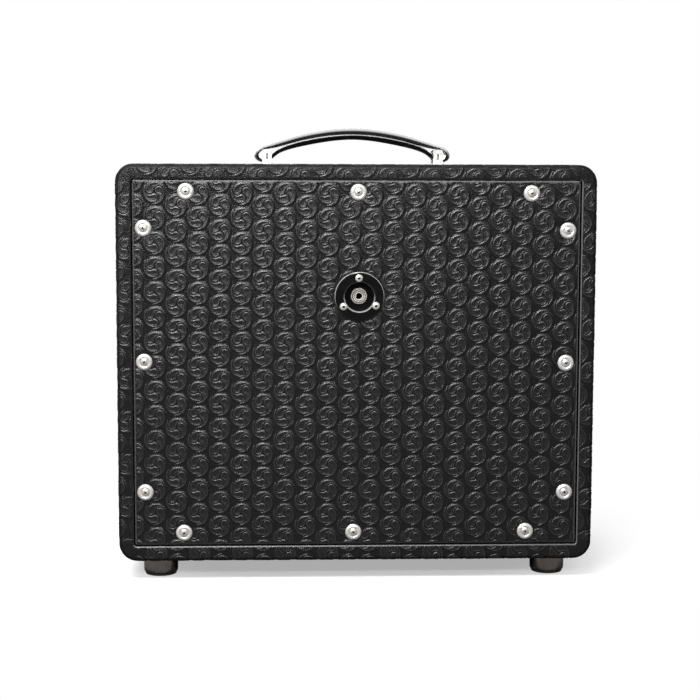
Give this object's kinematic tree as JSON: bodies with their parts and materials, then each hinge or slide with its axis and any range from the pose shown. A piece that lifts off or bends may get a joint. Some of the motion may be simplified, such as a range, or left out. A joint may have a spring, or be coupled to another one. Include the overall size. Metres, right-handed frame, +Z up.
{
  "type": "tube amplifier speaker cabinet",
  "caption": "Closed-back loudspeaker cabinet of a tube amplifier rig: embossed vinyl box, screwed rear panel, dished phone jack, strap handle, round feet.",
  "frame": {"origin": "on the floor, under the centre of the body", "axes": "+Z up; the grille faces -Y and the rear panel with the input jack faces +Y; +X is to the right when looking at the grille"},
  "size_m": [0.48, 0.26, 0.4567],
  "materials": {
    "plywood": "birch plywood, sanded",
    "baffle_board": "plywood stained black",
    "batten_wood": "softwood batten",
    "embossed_vinyl": "black vinyl covering embossed with a raised three-comma swirl, semi-gloss",
    "zinc_steel": "zinc plated",
    "grille_cloth": "black and silver-grey woven grille cloth",
    "piping": "pale silver-grey vinyl cord",
    "hook_and_loop": "black hook and loop pad",
    "foam": "closed-cell sealing foam",
    "cork_gasket": "pressed paper gasket",
    "nickel": "bright nickel plate",
    "black_dish": "glossy black moulding",
    "jack_nickel": "nickel plated brass",
    "tinned_brass": "tinned brass",
    "fibre_board": "resin bonded board",
    "basket_paint": "black hammered paint on pressed steel",
    "plated_steel": "zinc plated steel",
    "ferrite": "ground ferrite",
    "cone_paper": "pressed paper pulp",
    "dust_cap_felt": "pressed felt",
    "spider_cloth": "resin treated cloth",
    "copper_coil": "lacquered copper wire on a brown former",
    "tinsel": "braided tinsel wire",
    "red_insulation": "red wire insulation",
    "black_insulation": "black wire insulation",
    "wadding": "white polyester wadding",
    "handle_vinyl": "glossy black strap with a stitched edge",
    "handle_chrome": "chromium plate",
    "foot_shell": "smoked high-gloss metal shell",
    "foot_rubber": "black rubber"
  },
  "bodies": {
    "cabinet": {"baffle_board": "baffle_board", "baffle_screws": "zinc_steel", "bottom_board": "plywood", "cabinet_covering": "embossed_vinyl", "cone_edge": "cone_paper", "damping_pad": "wadding", "foot_cups": "foot_shell", "foot_pads": "foot_rubber", "foot_screws": "zinc_steel", "foot_washers": "zinc_steel", "front_battens": "batten_wood", "grille_cloth": "grille_cloth", "grille_frame": "batten_wood", "grille_hook_pads": "hook_and_loop", "grille_loop_pads": "hook_and_loop", "grille_piping": "piping", "handle_brackets": "handle_chrome", "handle_nuts": "zinc_steel", "handle_screws": "nickel", "jack_dish": "black_dish", "jack_dish_screws": "nickel", "jack_frame": "jack_nickel", "jack_insulators": "fibre_board", "jack_lugs": "tinned_brass", "jack_nut": "jack_nickel", "jack_rivet": "jack_nickel", "jack_washer": "jack_nickel", "left_board": "plywood", "magnet_ring": "ferrite", "magnet_top_plate": "plated_steel", "pole_piece": "plated_steel", "rear_battens": "batten_wood", "rear_gasket": "foam", "rear_panel": "plywood", "rear_panel_covering": "embossed_vinyl", "rear_panel_cup_washers": "nickel", "rear_panel_screws": "nickel", "right_board": "plywood", "spade_terminals": "tinned_brass", "speaker_basket": "basket_paint", "speaker_gasket": "cork_gasket", "speaker_screws": "zinc_steel", "speaker_terminals": "tinned_brass", "speaker_washers": "zinc_steel", "spider": "spider_cloth", "tee_nuts": "zinc_steel", "terminal_strip": "fibre_board", "tinsel_leads": "tinsel", "top_board": "plywood", "wire_black": "black_insulation", "wire_red": "red_insulation"},
    "cone_assembly": {"speaker_cone": "cone_paper", "dust_cap": "dust_cap_felt", "voice_coil": "copper_coil"},
    "handle": {"handle_grip": "handle_vinyl", "handle_lower_strap": "handle_vinyl", "handle_steel_band": "plated_steel"},
    "jack_spring": {"jack_tip_spring": "tinned_brass"}
  },
  "joints": [
    {"name": "cone_travel", "type": "slide", "parent": "cabinet", "child": "cone_assembly", "axis": [0, -1, 0], "range_m": [-0.003, 0.003], "stiffness_N_per_m": 2500, "deforming": ["cone_edge", "spider", "tinsel_leads"]},
    {"name": "handle_lift", "type": "slide", "parent": "cabinet", "child": "handle", "axis": [0, 0, 1], "range_m": [0, 0.004]},
    {"name": "jack_contact_flex", "type": "hinge", "parent": "cabinet", "child": "jack_spring", "pos_m": [-0.0024, 0.09788, 0.2984], "axis": [-1, 0, 0], "range_deg": [0, 6], "stiffness_Nm_per_rad": 0.5}
  ]
}
